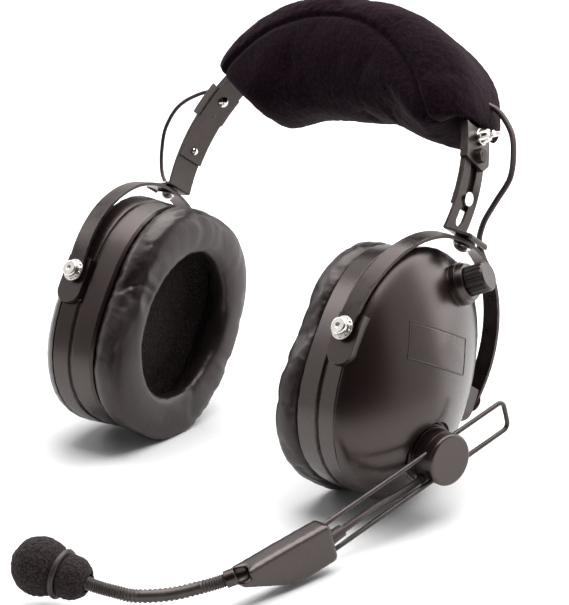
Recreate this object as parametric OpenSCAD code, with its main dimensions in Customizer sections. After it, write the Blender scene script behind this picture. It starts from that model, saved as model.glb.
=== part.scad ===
// Over-ear headset for use in a cockpit: sprung headband with a fleece pad,
// sliding and swivelling stirrups, two sealed ear cups, and a wire boom that
// carries a gooseneck microphone.  Millimetres, +Z up, +Y towards the back of
// the head, +X towards the wearer's left.  The set stands leaning back on the
// lower ends of both cups.

/* [Stance] */
// Angle by which the whole set leans back
lean = 35; // [20:1:40]
// Angle by which each cup turns to the front on its swivel
toe = 3; // [0:1:8]

/* [Headband] */
// Radius of the inner face of the spring band
spring_r = 78; // [76:1:84]
// Height of the band's centre over the pivot screws
arch_z = 71; // [68:1:76]
// Width of the spring band and of both sliders
band_w = 15; // [14:1:20]
// Thickness of the spring band
spring_t = 1; // [0.8:0.1:1.2]
// Thickness of each slider
slider_t = 1.2; // [1:0.1:1.4]
// Angle by which the band is set over towards the left cup
band_turn = 2; // [0:0.5:2]
// Angle by which the band is turned against the cups, seen from above
band_yaw = 1.5; // [0:0.5:2]
// Half of the angle that the head pad covers
pad_half_angle = 60; // [54:1:60]
// Angle by which the pad sits off the band's middle, towards the left cup
pad_shift = 2; // [0:0.5:2]
// Width of the head pad
pad_w = 54; // [48:1:62]
// Thickness of the head pad at its middle
pad_t = 49; // [30:1:50]
// Thickness of the head pad at its ends
pad_end_t = 19; // [14:1:24]

/* [Stirrup] */
// Width of the stirrup strip
strip_w = 8; // [7:0.5:10]
// Thickness of the stirrup strip
strip_t = 1.5; // [1.2:0.1:2]
// Distance from the swivel rivet down to the pivot screws
arm_drop = 55; // [52:1:60]
// Distance from the swivel axis to the inner face of the front arm
arm_front = 47.5; // [47:0.5:52]
// Distance from the swivel axis to the inner face of the rear arm
arm_rear = 47; // [44:0.5:50]

/* [Ear cup] */
// Half of the cup's front-to-back width
cup_half_b = 41; // [38:1:44]
// Half of the cup's height
cup_half_u = 53; // [48:1:56]
// Depth of the dome outside the parting line
dome_depth = 22; // [18:1:26]
// Wall of the dome and of the cup base
wall = 2.4; // [2:0.1:3]
// Depth of the ear seal
seal_depth = 13; // [10:1:16]
// Half of the ear opening's width
ear_half_b = 25.8; // [22:0.1:28]
// Half of the ear opening's height
ear_half_u = 33.2; // [30:0.1:36]

/* [Boom] */
// Diameter of the boom drum
drum_d = 21.6; // [20:0.1:24]
// Diameter of the boom wire
wire_d = 2; // [1.6:0.1:2.4]
// Distance between the two runs of the boom wire
wire_gap = 12.8; // [12:0.1:14]
// Angle of the boom, from straight down towards the front
boom_turn = 42; // [20:1:80]
// Diameter of the gooseneck over its ribs
neck_d = 5.6; // [5:0.1:6.5]

/* [Hidden] */
$fn = 48;
gap = 0.3;                       // clearance between pieces that move
fit = 0.05;                      // radial clearance of a running fit
stand = [-5.95, 35.4, 54.9];             // puts the middle of the base at the origin

// Band layers, as radii from the arch centre
spring_out = spring_r + spring_t;
slider_in = spring_out + gap;
slider_out = slider_in + slider_t;
bracket_t = 1.2;
bracket_in = slider_out + gap;
bracket_out = bracket_in + bracket_t;
slider_bottom = -8.3;            // arc angles of the slider's ends
slider_top = 42;
slot_bottom = -4.7;              // arc angles of the slot's ends
slot_top = 37.2;
slot_w = 5;
screw_r = 1.5;
clamp_at = 24;                   // arc angles of the fasteners
lock_at = 18;
guide_at = 4.4;
right_drop = 1.5;                // the band's right end reaches further down
slot_short = 8;                  // and the right slider's slot ends higher up
nut_h = 7.6;                     // height of the wing nut

// Head pad
pad_top_r = spring_out + 4.2;    // radius of the pad's top
seam_drop = 8;                   // from the top down to the side seams

// Foot and swivel, in the stirrup frame
splay = 6.3;                     // outward lean of the stirrup's plane
foot_top = 4.1;
foot_in = 4.75;
foot_len = 13;
foot_corner = [slider_out * cos(slider_bottom), arch_z + slider_out * sin(slider_bottom)];
rivet = [
    foot_corner[0] + foot_in * cos(splay) - foot_top * sin(splay),
    0,
    foot_corner[1] - foot_in * sin(splay) - foot_top * cos(splay)
];
rivet_r = 2;
strip_top = 2;

// Stirrup bends: a wide one of crown_turn degrees, then a tight one
crown_r = 44;
crown_turn = 40;
side_r = 52;

// Ear cup outlines, in the cup frame
rim_at = [-4.7, -4.2];           // middle of the rim, towards the back and up
rim_n = 3.8;                     // parting line between the dome and the base
lip_n = -4.8;
seal_n = -18.1;
face_n = seal_n - seal_depth;
base_at = -2.3;                  // middle of the base's inner end
boss_gap = 0.5;                  // from the boss to the stirrup's arm
// Bosses: half width, middle, drop of the round end and top
front_boss = [6.4, 0.6, 8.1, 7];
rear_boss = [5, -1, 5, 5];

// Fittings on the domes: places in the cup frame
knob_at = [13.5, 0, 39];
knob_tilt = 25;
hub_at = [20, 2.9, -32.5];
hub_tilt = 6;
hub_yaw = -6;
shaft_r = 1.6;
lead_d = 3;                       // microphone lead
inlet_d = 9;                      // bush for the main cord, and its bore
inlet_bore_r = 3;
pivot_r = 3;                     // centre pin of the boom drum
split_z = 9.5;                   // height of the boom wire over the base
drum_h = 14;
wire_back = -37;                 // ends of the boom wire along the boom
wire_front = 70;
wire_bend = 3;
block_z = 5.5;
block_t = 9.5;

// Route of the gooseneck from the block's tip, in the boom frame
neck_route = [
    [109, -11, 10.5], [113, -10.5, 8], [119, -10, 3.5], [130, -11, -3],
    [140, -13.5, -11], [145, -16.5, -17], [149, -19.6, -21.5], [150.9, -21.2, -25.3]
];
mic_direction = [9, -7, -22];
// Route of the microphone lead, in the boom frame
lead_route = [
    [9.5, 5.2, 6.3], [14, 5.2, 6.3], [24, 4.4, 6.6], [36, 2, 8], [48, 0.3, 10], [57.8, 0, 10.5]
];
// Routes of the crossover leads: down to the slider's foot, then behind the
// stirrup's rear half, which both share apart from the side
cross_low = [
    [84.1, 19.8, 54.4], [83.4, 28.2, 49.6], [82.7, 36.2, 42.4], [81.8, 42.9, 33.2], [80.5, 48.1, 21.1],
    [77.2, 49.5, 13.6], [73.1, 48.7, 9.2], [70.1, 46.2, 6.7], [68.6, 43.4, 6], [68.5, 40.6, 5.9], [68.3, 37.4, 5.9]
];
cross_route_l = [
    [67.5, 5, 119.5], [75, 7, 117.5], [83, 9, 110], [87, 10, 101], [89, 10.5, 90], [85.5, 11.5, 80],
    [81.7, 13.4, 71.5], [80.7, 14.5, 65.5], [81.5, 15, 61], [83.2, 16.3, 57.5], each cross_low
];
cross_route_r = [
    [-66, 11.2, 116], [-72, 10.8, 114.5], [-79, 8, 112], [-89, 4, 106.5], [-99, 4, 99], [-104, 6, 88], [-104, 9, 77],
    [-102, 11, 69], [-98.5, 11.8, 64], [-93.5, 12.4, 60.5], [-88, 14, 58],
    for (p = cross_low) [-p[0], p[1], p[2]]
];

// Colours
steel_black = "#2b2727";
shell_black = "#332e2d";
vinyl = "#262222";
fleece = "#17141a";
rubber = "#1c1a1a";
foam = "#1b1a1c";
nickel = "#c9c4be";
chrome_wire = "#4a4644";

// ---------- frames ----------
module stance() { translate(stand) rotate([-lean, 0, 0]) children(); }
module band_shift() {
    rotate([0, 0, -band_yaw]) translate([0, 0, arch_z]) rotate([0, band_turn, 0])
        translate([0, 0, -arch_z]) children();
}
module arch() { translate([0, 0, arch_z]) rotate([90, 0, 0]) children(); }
module at_arc(angle) { rotate([0, 0, angle]) rotate([0, 90, 0]) children(); }
module foot_frame() { translate(rivet) rotate([0, splay, 0]) children(); }
module stirrup_frame() { foot_frame() rotate([0, 0, -toe]) children(); }
module cup_frame() {
    stirrup_frame() translate([0, 0, -arm_drop]) rotate([0, -splay, 0]) children();
}
module knob_frame() { cup_frame() translate(knob_at) rotate([0, 90 - knob_tilt, 0]) children(); }
module hub_frame() {
    cup_frame() translate(hub_at) rotate([0, 0, hub_yaw]) rotate([0, 90 + hub_tilt, 0]) children();
}
module boom_frame() { hub_frame() rotate([0, 0, -boom_turn]) children(); }
module mic_frame() {
    boom_frame() translate(neck_route[len(neck_route) - 1])
        rotate([0, acos(mic_direction[2] / norm(mic_direction)), atan2(mic_direction[1], mic_direction[0])])
            children();
}
module left() { stance() children(); }
module right() { stance() mirror([1, 0, 0]) children(); }
module band_end(side) {
    mirror([side < 0 ? 1 : 0, 0, 0]) translate([0, 0, arch_z]) rotate([0, side < 0 ? right_drop : 0, 0])
        translate([0, 0, -arch_z]) children();
}
module band_frame(side) { stance() band_shift() band_end(side) children(); }

// ---------- shapes ----------
function power(v, p) = sign(v) * pow(abs(v), p);

// Points round an oval with half axes a and b; a larger e makes it squarer
function oval(a, b, e, k = 40) = [
    for (i = [0:k - 1]) let (t = 360 * i / k) [a * power(cos(t), 2 / e), b * power(sin(t), 2 / e)]
];

// Side faces between n rings of k points each
function ring_sides(n, k, closed = false) = [
    for (j = [0:n - (closed ? 1 : 2)], i = [0:k - 1])
        let (next = (j + 1) % n, right = (i + 1) % k)
            [j * k + i, next * k + i, next * k + right, j * k + right]
];

// Solid through a list of rings, with flat ends
module loft(rings) {
    n = len(rings);
    k = len(rings[0]);
    first = [for (i = [0:k - 1]) i];
    last = [for (i = [k - 1:-1:0]) (n - 1) * k + i];
    polyhedron([for (ring = rings) each ring], concat([first], ring_sides(n, k), [last]));
}

// Hollow solid through a list of rings, whose last ring joins the first
module loft_loop(rings) {
    polyhedron([for (ring = rings) each ring], ring_sides(len(rings), len(rings[0]), true));
}

// Points along a smooth curve through the hand-set points of a route
function spline_at(p, i, t) =
    let (n = len(p) - 1,
        a = p[max(i - 1, 0)], b = p[i], c = p[i + 1], d = p[min(i + 2, n)])
        0.5 * (2 * b + (c - a) * t + (2 * a - 5 * b + 4 * c - d) * t * t
            + (3 * b - a - 3 * c + d) * t * t * t);
function smooth_route(p, steps) = [
    for (i = [0:len(p) - 2], s = [0:steps - 1]) spline_at(p, i, s / steps), p[len(p) - 1]
];
function unit(v) = v / norm(v);
function route_direction(p, i) = unit(p[min(i + 1, len(p) - 1)] - p[max(i - 1, 0)]);

// Ring of k points round a route's point, kept level by the side vector
function route_ring(p, i, r, k, side) =
    let (dir = route_direction(p, i), across = unit(cross(dir, side)), up = cross(dir, across))
        [for (j = [0:k - 1]) p[i] + r * (cos(360 * j / k) * up - sin(360 * j / k) * across)];

module cord(route, d, side = [0, 0, 1], k = 8) {
    loft([for (i = [0:len(route) - 1]) route_ring(route, i, d / 2, k, side)]);
}

// Part of a band bent round the arch, from angle a0 to a1
module arc_plate(r0, r1, a0, a1, w) {
    rotate([0, 0, a0]) rotate_extrude(angle = a1 - a0, $fn = 180)
        translate([r0, -w / 2]) square([r1 - r0, w]);
}

module tube(d, bore, h) {
    difference() {
        cylinder(d = d, h = h);
        translate([0, 0, -1]) cylinder(d = bore, h = h + 2);
    }
}

// Pan head with a rounded rim, its flat side on z = 0
module pan_head(d, h) {
    r = d / 2;
    rotate_extrude() {
        square([r - 0.8, h]);
        square([r, h - 0.8]);
        translate([r - 0.8, h - 0.8]) circle(r = 0.8, $fn = 32);
    }
}

// Low domed head, its flat side on z = 0
module round_head(d, h) {
    ball = (d * d / 4 + h * h) / (2 * h);
    intersection() {
        translate([0, 0, h - ball]) sphere(r = ball);
        cylinder(d = d, h = h);
    }
}

// ---------- headband ----------
module drill(r, from = 60, h = 40) { translate([0, 0, from]) cylinder(r = r, h = h); }

module headband_spring() {
    color(steel_black) stance() band_shift() difference() {
        arch() arc_plate(spring_r, spring_out, 1, 179 + right_drop, band_w);
        for (side = [-1, 1], at = [guide_at, lock_at, clamp_at])
            band_end(side) arch() at_arc(at) drill(screw_r + fit);
    }
}

// Ring round the pad at an angle from its middle; shrink rounds the ends off.
// The front edge hangs down, and the rear edge stands up towards the left cup.
function pad_ring(angle, shrink) =
    let (bulge = sin(160 * abs(angle) / pad_half_angle),
        taper = pow(cos(90 * angle / (pad_half_angle + 6)), angle < 0 ? 0.25 : 1),
        t = pad_end_t + (pad_t - pad_end_t) * taper,
        w = (pad_w / 2 - 5 * pow(abs(angle) / pad_half_angle, 3)) * shrink,
        seam_r = pad_top_r - seam_drop,
        middle = (spring_r + slider_out) / 2,
        centre = seam_r * shrink + middle * (1 - shrink),
        hang = 5 + 2 * max(angle, 0) / pad_half_angle,
        rise = angle > 0 ? 5 * bulge : 0)
    [for (i = [0:27])
        let (a = 360 * i / 28,
            seam = i % 14 == 0 ? 0.96 : 1,
            roll = cos(a) > 0 ? -hang * pow(cos(a), 3) : rise * pow(cos(a), 2),
            r = centre + shrink * (roll + (sin(a) > 0
                ? (seam_drop + 3.5 * bulge) * power(sin(a), 0.9)
                : (t - seam_drop) * power(sin(a), 0.75))))
        [r * sin(angle), -w * power(cos(a), 0.8) * seam, r * cos(angle)]];

// Outline of the channel for the spring and the sliders
function channel_ring(angle) =
    [for (p = oval(band_w / 2 + 0.8, (slider_out - spring_r) / 2 + 0.7, 6, 28))
        let (r = (spring_r + slider_out) / 2 + p[1])
        [r * sin(angle), -p[0], r * cos(angle)]];

module head_pad() {
    ends = [[1, 0.84], [0.985, 0.91], [0.95, 0.97], [0.89, 1]];
    steps = 10;
    angles = concat(
        [for (e = ends) [-e[0], e[1]]],
        [for (i = [0:2 * steps]) [0.82 * (i / steps - 1), 1]],
        [for (i = [3:-1:0]) ends[i]]
    );
    last = len(angles) - 1;
    color(fleece) stance() band_shift() translate([0, 0, arch_z]) rotate([0, pad_shift, 0])
        loft_loop(concat(
            [for (e = angles) pad_ring(pad_half_angle * e[0], e[1])],
            [for (i = [last:-2:0]) channel_ring(pad_half_angle * angles[i][0])]
        ));
}

module bracket() {
    edge = band_w / 2 + 0.2;
    color(steel_black) arch() difference() {
        union() {
            arc_plate(bracket_in, bracket_out, 13.5, 27, 2 * edge + 0.4);
            for (side = [-1, 1])
                translate([0, 0, side * (edge + bracket_t / 2)])
                    arc_plate(spring_r + 0.4, bracket_out + 0.05, 13, 27.2, bracket_t);
        }
        // Slanted lower edge, deepest towards the back
        at_arc(17) translate([0, 0, 60]) linear_extrude(40)
            polygon([[-15, -0.5], [5, -3.7], [9, 0.2], [15, 2], [15, -14], [-15, -14]]);
        for (at = [lock_at, clamp_at]) at_arc(at) drill(screw_r + fit);
    }
}

module clamp_screws() {
    color(nickel) for (side = [-1, 1]) band_frame(side) arch() at_arc(clamp_at) {
        translate([0, 0, spring_r - 0.1]) rotate([180, 0, 0]) round_head(5.4, 2);
        translate([0, 0, spring_r - 0.11])
            cylinder(r = screw_r, h = bracket_out + (side < 0 ? 3 : nut_h) - spring_r);
    }
}

module lock_nuts() {
    color(steel_black) for (side = [-1, 1]) band_frame(side) arch() at_arc(lock_at) {
        translate([0, 0, spring_r]) cylinder(r = screw_r, h = bracket_out + 2.9 - spring_r);
        translate([0, 0, bracket_out + 0.02]) cylinder(d = 6.4, h = 2.6, $fn = 6);
    }
}

module guide_rivets() {
    color(nickel) for (side = [-1, 1]) band_frame(side) arch() at_arc(guide_at) {
        translate([0, 0, spring_r - 0.1]) rotate([180, 0, 0]) round_head(3.8, 1.4);
        translate([0, 0, spring_r - 0.11]) cylinder(r = screw_r, h = slider_out + 1 - spring_r);
        translate([0, 0, slider_out + 0.2]) cylinder(r = 3, h = 0.8);
    }
}

module wing_nut() {
    color(nickel) arch() at_arc(clamp_at) translate([0, 0, bracket_out + 0.1]) rotate([0, 0, 25])
        difference() {
            union() {
                cylinder(d = 7.4, h = 1.4);
                cylinder(d1 = 7, d2 = 5, h = 5);
                rotate([90, 0, 0]) translate([0, 0, -0.8]) linear_extrude(1.6) {
                    for (side = [-1, 1]) translate([side * 6, 5.4]) circle(r = 2.4);
                    polygon([[-2, 1], [-7.8, 4], [-5, 7.6], [0, 4.6], [5, 7.6], [7.8, 4], [2, 1]]);
                }
            }
            translate([0, 0, -1]) cylinder(r = screw_r + fit, h = 12);
        }
}

// Low round nut with a knurled rim
module clamp_nut() {
    color(nickel) arch() at_arc(clamp_at) translate([0, 0, bracket_out + 0.1]) difference() {
        cylinder(d = 8.4, h = 2.4);
        translate([0, 0, -1]) cylinder(r = screw_r + fit, h = 5);
        for (i = [0:11]) rotate([0, 0, 30 * i]) translate([4.4, 0, -1]) cylinder(r = 0.5, h = 5, $fn = 12);
    }
}

// ---------- sliders and stirrups ----------
// The right slider is turned about, so that its foot is narrowed at the front
module slider(side) {
    slot_end = side < 0 ? slot_bottom + slot_short : slot_bottom;
    color(steel_black) difference() {
        rotate([0, 0, -side * band_yaw]) {
            arch() arc_plate(slider_in, slider_out, slider_bottom - 0.6, slider_top, band_w);
            foot_frame() mirror([0, side < 0 ? 1 : 0, 0]) foot();
        }
        rotate([0, 0, -side * band_yaw]) arch() {
            arc_plate(slider_in - 1, slider_out + 1, slot_end, slot_top, slot_w);
            for (at = [slot_end, slot_top]) at_arc(at) drill(slot_w / 2 - 0.1);
        }
        stirrup_frame() cylinder(r = rivet_r + fit, h = 10);
    }
}

// Foot of the slider, bent outwards, narrowed, with its outer edge rolled down
module foot() {
    out = foot_len - foot_in;
    half = band_w / 2;
    difference() {
        rotate([90, 0, 0]) {
            translate([-foot_in, foot_top - slider_t, -half]) cube([foot_len, slider_t, band_w]);
            translate([-foot_in, foot_top, 0]) arc_plate(0, slider_t, 180, 270, band_w);
            translate([out, foot_top - 1.8, 0]) arc_plate(1.8 - slider_t, 1.8, 0, 90, band_w);
            translate([out + 1.8 - slider_t, foot_top - 2.6, -half]) cube([slider_t, 0.9, band_w]);
        }
        translate([0, 0, -1]) linear_extrude(8)
            polygon([[-3.2, half + 1], [-2.4, half - 2.3], [14, half - 2.3], [14, half + 1]]);
    }
}

module swivel_rivet() {
    color(nickel) stirrup_frame() {
        translate([0, 0, -0.5]) rotate([180, 0, 0]) round_head(8.6, 2.4);
        translate([0, 0, -0.51]) cylinder(r = rivet_r, h = foot_top + 0.52);
        translate([0, 0, foot_top + 0.01]) cylinder(r = 3.2, h = 0.7);
    }
}

module swivel_washers() {
    bottom = strip_top - strip_t;
    color(steel_black) stirrup_frame() {
        translate([0, 0, strip_top + 0.05]) tube(9.6, 2 * (rivet_r + fit), foot_top - slider_t - strip_top - 0.1);
        translate([0, 0, bottom - 0.95]) tube(8.4, 2 * (rivet_r + fit), 0.8);
    }
}

// Strip bent to radius r in the Y-Z plane, from angle a0 to a1
module strip_bend(r, a0, a1) {
    rotate([90, 0, 90]) rotate([0, 0, a0]) rotate_extrude(angle = a1 - a0, $fn = 120)
        translate([r - strip_t / 2, -strip_w / 2]) square([strip_t, strip_w]);
}

module stirrup_half(arm) {
    flat_half = arm + strip_t / 2 - crown_r * sin(crown_turn) - side_r * (1 - sin(crown_turn));
    low = 90 - crown_turn;
    crown_z = strip_top - strip_t / 2 - crown_r;
    side_y = flat_half + (crown_r - side_r) * cos(low);
    side_z = crown_z + (crown_r - side_r) * sin(low);
    translate([-strip_w / 2, 0, strip_top - strip_t]) cube([strip_w, flat_half, strip_t]);
    translate([0, flat_half, crown_z]) strip_bend(crown_r, low, 90);
    translate([0, side_y, side_z]) strip_bend(side_r, 0, low);
    translate([-strip_w / 2, arm, -arm_drop]) cube([strip_w, strip_t, arm_drop + side_z]);
    translate([0, arm, -arm_drop]) rotate([-90, 0, 0]) cylinder(d = strip_w, h = strip_t);
}

module stirrup() {
    color(steel_black) stirrup_frame() difference() {
        union() {
            stirrup_half(arm_rear);
            mirror([0, 1, 0]) stirrup_half(arm_front);
        }
        cylinder(r = rivet_r + fit, h = 20, center = true);
        translate([0, 0, -arm_drop]) rotate([90, 0, 0])
            cylinder(r = screw_r + fit, h = 3 * arm_front, center = true);
    }
}

// Axis of one pivot, z pointing away from the cup
module pivot_axis(side) { cup_frame() rotate([-90 * side, 0, 0]) children(); }
function arm_at(side) = side > 0 ? arm_rear : arm_front;

module pivot_screws() {
    color(nickel) for (side = [-1, 1]) pivot_axis(side) {
        head = arm_at(side) + strip_t + 1.2;
        translate([0, 0, arm_at(side) - 10]) cylinder(r = screw_r, h = head - arm_at(side) + 10.1);
        translate([0, 0, head]) difference() {
            pan_head(7.4, 2.4);
            translate([0, 0, 1.3]) cylinder(d = 2.6, h = 3, $fn = 6);
        }
    }
}

module pivot_washers() {
    bore = 2 * (screw_r + 0.02);
    color(nickel) for (side = [-1, 1]) pivot_axis(side) translate([0, 0, arm_at(side) + strip_t + 0.05]) {
        tube(10, bore, 0.5);
        // Star washer: the teeth are notches round its edge
        translate([0, 0, 0.52]) difference() {
            tube(8.8, bore, 0.6);
            for (i = [0:9]) rotate([0, 0, 36 * i]) translate([4.6, 0, -1]) cylinder(r = 0.7, h = 3);
        }
    }
}

// ---------- ear cups ----------
// Ring round the dome; q runs from 0 at the rim to 90 at the apex
function dome_ring(q, inset) =
    let (rho = power(cos(q), 4 / 3), h = power(sin(q), 4 / 3),
        e = 2.3 - 0.25 * h)
    [for (p = oval((cup_half_b - inset) * rho, (cup_half_u - inset) * rho, e))
        [rim_n + (dome_depth - inset) * h, rim_at[0] + p[0], rim_at[1] - 12 * h + p[1]]];

// Block for a pivot screw, with a round lower end
module pivot_boss(side, boss, inner, grow) {
    half = boss[0] + grow;
    end = arm_at(side) - boss_gap + grow;
    translate([boss[1], side * inner, -boss[2]]) rotate([-90 * side, 0, 0]) cylinder(r = half, h = end - inner);
    translate([boss[1] - half, side > 0 ? inner : -end, -boss[2]])
        cube([2 * half, end - inner, boss[3] + boss[2] + grow]);
}

module both_bosses(grow = 0) {
    pivot_boss(-1, front_boss, 39 - grow, grow);
    pivot_boss(1, rear_boss, 29 - grow, grow);
}

module dome_body() {
    cup_frame() {
        loft(concat(
            [for (q = [80, 58, 38, 20, 0]) dome_ring(q, wall)],
            [for (q = [0, 9, 18, 27, 36, 46, 56, 66, 75, 83]) dome_ring(q, 0)]
        ));
        both_bosses();
    }
}

// Holes for the pivot screws
module pivot_holes() {
    for (side = [-1, 1]) pivot_axis(side) translate([0, 0, 20]) cylinder(r = screw_r + 0.02, h = 40);
}

// Place for the crossover lead on the rear of a base
module entry() { cup_frame() translate([-11.5, 37.4, 6]) rotate([-90, 0, 0]) children(); }
// Place for the main cord on the right dome
module inlet_frame() { cup_frame() translate([13, -6, -42]) rotate([0, 148, 0]) children(); }

module dome_l() {
    color(shell_black) left() difference() {
        union() {
            dome_body();
            knob_frame() translate([0, 0, -5]) cylinder(d = 18, h = 5);
            hub_frame() translate([0, 0, -6]) cylinder(d = 26.6, h = 6);
        }
        knob_frame() {
            cylinder(d = 18.4, h = 8);
            translate([0, 0, -10]) cylinder(r = 3.6, h = 12);
            translate([0, 0, -20]) cylinder(d = 12.4, h = 16);
        }
        hub_frame() {
            cylinder(d = 27, h = 8);
            translate([0, 0, -10]) cylinder(r = pivot_r + 0.02, h = 12);
        }
        pivot_holes();
    }
}

module dome_r() {
    color(shell_black) right() difference() {
        dome_body();
        pivot_holes();
        inlet_frame() {
            translate([0, 0, -12]) cylinder(d = inlet_d + 0.04, h = 14);
            translate([0, 0, 1.95]) cylinder(d = inlet_d + 2.4, h = 8);
        }
    }
}

// Outline of the base at height n, drawn in by inset
function base_ring(n, inset) =
    let (f = (n - seal_n) / (rim_n - seal_n),
        b = base_at + (rim_at[0] - base_at) * f,
        u = cup_half_u - 1.8 * (1 - f))
    [for (p = oval(cup_half_b - inset, u - inset, 2.5 - 0.2 * f)) [n, b + p[0], rim_at[1] + p[1]]];

module cup_base() {
    flange = 9;
    color(shell_black) difference() {
        cup_frame() loft_loop([
            base_ring(seal_n, 1), base_ring(seal_n + 1, 0), base_ring(lip_n - 2.6, 0),
            base_ring(lip_n - 1.8, 1.2), base_ring(lip_n - 0.6, 1.2), base_ring(lip_n, 0),
            base_ring(rim_n - 0.8, 0), base_ring(rim_n - 0.05, 0.6), base_ring(rim_n - 0.05, wall),
            base_ring(seal_n + wall, wall), base_ring(seal_n + wall, flange), base_ring(seal_n, flange)
        ]);
        cup_frame() both_bosses(0.1);
        entry() lead_entry_hole();
    }
}

// Outline of the ear seal: mix runs from the ear opening (0) to the cup (1),
// and grow pushes it outwards.  The front is drawn in, and the top is narrower.
function seal_ring(n, mix, grow) =
    let (k = 48,
        inner = oval(ear_half_b, ear_half_u, 2, k),
        outer = oval(cup_half_b - 0.3, cup_half_u - 1.5, 2.5, k),
        depth = (seal_n - n) / seal_depth,
        middle = base_at * (1 - depth),
        egg = 0.03 * mix * depth)
    [for (i = [0:k - 1])
        let (q = inner[i] * (1 - mix) + outer[i] * mix,
            p = [q[0] * (1 - egg * q[1] / 50), q[1] * (q[1] > 0 ? 1 - egg : 1)],
            waist = p[0] < 0 ? 4 * mix * depth * exp(-pow((p[1] - 2.5) / 13, 2)) : 0,
            pucker = 0.35 * mix * (1 - mix) * 4 * (i % 4 == 0 ? -1 : 0),
            out = grow + pucker)
        [n + (i % 2 == 0 ? 0.2 * mix * (1 - mix) : 0),
            middle + p[0] + waist + out * p[0] / norm(p),
            rim_at[1] + p[1] + out * p[1] / norm(p)]];

module ear_seal() {
    color(vinyl) difference() {
        stance() cup_frame() seal_body();
        translate([0, 0, -50]) cube([400, 400, 100], center = true);
    }
}

module seal_body() {
    loft_loop([
        seal_ring(seal_n - 0.1, 0.42, 0), seal_ring(seal_n - 0.1, 1, -1.4), seal_ring(seal_n - 1.3, 1, -0.2),
        seal_ring(seal_n - 3.6, 1, 1), seal_ring(seal_n - 6.6, 1, 1.4), seal_ring(seal_n - 9.8, 1, 1.3),
        seal_ring(face_n + 1.2, 1, 0.6), seal_ring(face_n + 0.2, 1, -1), seal_ring(face_n - 0.4, 0.75, 0),
        seal_ring(face_n - 0.6, 0.42, 0), seal_ring(face_n - 0.3, 0.16, 0), seal_ring(face_n + 0.7, 0.03, 0),
        seal_ring(face_n + 2.6, 0, 0), seal_ring(face_n + 8, 0.08, 0), seal_ring(seal_n - 1.2, 0.3, 0)
    ]);
}

// Foam sheet behind the seal, dished for the ear: heights over the seal's
// plane and how far each ring is drawn in
module foam_liner() {
    rings = [[6.2, 15], [4, 14], [2.7, 9], [2.7, 3.4], [9.4, 3.4]];
    color(foam) cup_frame() loft([for (ring = rings) base_ring(seal_n + ring[0], ring[1])]);
}

module speaker() {
    color("#3a3838") cup_frame() translate([-8.2, -3, -5]) rotate([0, 90, 0]) {
        cylinder(d = 40, h = 3);
        translate([0, 0, 3]) cylinder(d1 = 36, d2 = 24, h = 3.5);
        translate([0, 0, 6.5]) cylinder(d = 24, h = 4);
    }
}

module dome_foam() {
    color(foam) cup_frame() translate([2.8, -5, -8]) rotate([0, 90, 0]) difference() {
        cylinder(d = 50, h = 6);
        translate([0, 0, -1]) cylinder(d = 41, h = 8);
    }
}

// ---------- volume control ----------
module volume_bezel() {
    color("#4a4543") left() knob_frame() difference() {
        cylinder(d1 = 17.4, d2 = 15.4, h = 2.8);
        translate([0, 0, -1]) cylinder(r = 3.6, h = 5);
    }
}

module volume_knob() {
    color("#211f20") left() knob_frame() {
        translate([0, 0, 3.1]) difference() {
            union() {
                cylinder(d = 12.6, h = 7.6);
                translate([0, 0, 7.6]) cylinder(d1 = 12.6, d2 = 11, h = 0.9);
            }
            for (i = [0:17]) rotate([0, 0, 20 * i]) translate([6.7, 0, -1]) cylinder(r = 0.75, h = 12, $fn = 16);
        }
        translate([0, 0, -5]) cylinder(r = shaft_r, h = 8.2);
    }
}

module volume_pot() {
    color(nickel) left() knob_frame() difference() {
        union() {
            translate([0, 0, -10]) cylinder(d = 12, h = 5.9);
            translate([0, 0, -4.2]) cylinder(r = 3.5, h = 6.9);
        }
        translate([0, 0, -5.2]) cylinder(r = shaft_r + fit, h = 12);
    }
}

// ---------- boom ----------
module boom_base() {
    color(shell_black) left() hub_frame() {
        translate([0, 0, 0.02]) cylinder(d1 = 25, d2 = 24, h = 2.2);
        translate([0, 0, 2.2]) cylinder(d = 22.4, h = 1.5);
        translate([0, 0, -8]) cylinder(r = pivot_r, h = drum_h + 6);
    }
}

// Bores for both runs of the wire
module wire_bores(r) {
    for (side = [-1, 1])
        translate([0, side * wire_gap / 2, split_z]) rotate([0, 90, 0]) cylinder(r = r, h = 60, center = true);
}

// Axis of the lead's bush in the drum
module gland_axis() { boom_frame() translate([5.2, 5.2, 6.3]) rotate([0, 90, 0]) children(); }

module boom_drum() {
    color(shell_black) left() difference() {
        boom_frame() difference() {
            translate([0, 0, 4]) cylinder(d = drum_d, h = split_z - 4 - 0.05);
            cylinder(r = pivot_r + fit, h = 30);
            wire_bores(wire_d / 2 + fit);
        }
        gland_axis() {
            translate([0, 0, -0.05]) cylinder(d = 3.84, h = 12);
            translate([0, 0, 4.75]) cylinder(d = 4.2, h = 12);
        }
    }
}

module boom_cap() {
    edge = 1.2;
    color(shell_black) left() boom_frame() difference() {
        translate([0, 0, split_z + 0.05]) rotate_extrude() {
            square([drum_d / 2, drum_h - split_z - edge]);
            square([drum_d / 2 - edge, drum_h - split_z]);
            translate([drum_d / 2 - edge, drum_h - split_z - edge]) circle(r = edge, $fn = 32);
        }
        cylinder(r = pivot_r + fit, h = drum_h - 1.6);
        wire_bores(wire_d / 2 + fit);
    }
}

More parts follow.
